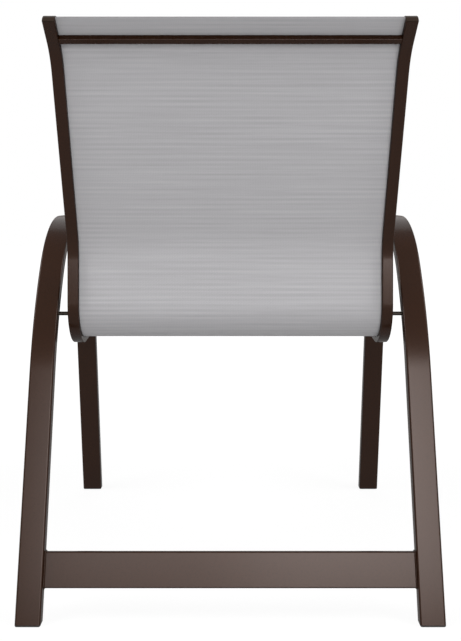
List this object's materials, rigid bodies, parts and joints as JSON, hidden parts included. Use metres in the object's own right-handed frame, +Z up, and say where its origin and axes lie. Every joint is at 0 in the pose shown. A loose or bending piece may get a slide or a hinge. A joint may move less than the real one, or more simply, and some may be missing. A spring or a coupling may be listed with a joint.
{
  "type": "sling patio chair",
  "caption": "Outdoor armchair: bent flat-tube hoops form legs and armrests, and a panel of woven fabric is stretched between bent side rails as seat and back.",
  "frame": {"origin": "on the floor, under the middle of the chair's box", "axes": "+Z up, the chair faces -Y, +X is the sitter's left; X is the axis of mirror symmetry"},
  "size_m": [0.632, 0.6672, 0.8837],
  "materials": {
    "powder_coated_frame": "dark brown powder coat, semi-gloss",
    "sling_fabric": "grey woven vinyl-coated polyester with fine crosswise slubs",
    "vinyl_spline": "extruded vinyl rod",
    "moulded_plug": "moulded dark brown polyethylene",
    "foot_glide": "moulded black-brown nylon",
    "black_steel": "black oxide",
    "zinc_steel": "zinc plated"
  },
  "bodies": {
    "root": {"hoop_left": "powder_coated_frame", "hoop_right": "powder_coated_frame", "rear_brace": "powder_coated_frame", "rail_left": "powder_coated_frame", "rail_right": "powder_coated_frame", "top_spreader": "powder_coated_frame", "seat_rear_spreader": "powder_coated_frame", "seat_front_spreader": "powder_coated_frame", "sling": "sling_fabric", "spline_left": "vinyl_spline", "spline_right": "vinyl_spline", "rail_plug_left_top": "moulded_plug", "rail_plug_right_top": "moulded_plug", "rail_plug_left_front": "moulded_plug", "rail_plug_right_front": "moulded_plug", "foot_glide_left_rear": "foot_glide", "foot_glide_right_rear": "foot_glide", "frame_bolt_left_rear": "black_steel", "frame_bolt_right_rear": "black_steel", "hoop_insert_left_rear": "zinc_steel", "hoop_insert_right_rear": "zinc_steel", "rail_nut_left_rear": "zinc_steel", "rail_nut_right_rear": "zinc_steel", "foot_glide_left_front": "foot_glide", "foot_glide_right_front": "foot_glide", "frame_bolt_left_front": "black_steel", "frame_bolt_right_front": "black_steel", "hoop_insert_left_front": "zinc_steel", "hoop_insert_right_front": "zinc_steel", "rail_nut_left_front": "zinc_steel", "rail_nut_right_front": "zinc_steel", "spreader_screw_left_top": "black_steel", "spreader_screw_right_top": "black_steel", "spreader_screw_left_seat_rear": "black_steel", "spreader_screw_right_seat_rear": "black_steel", "spreader_screw_left_seat_front": "black_steel", "spreader_screw_right_seat_front": "black_steel"}
  },
  "joints": []
}
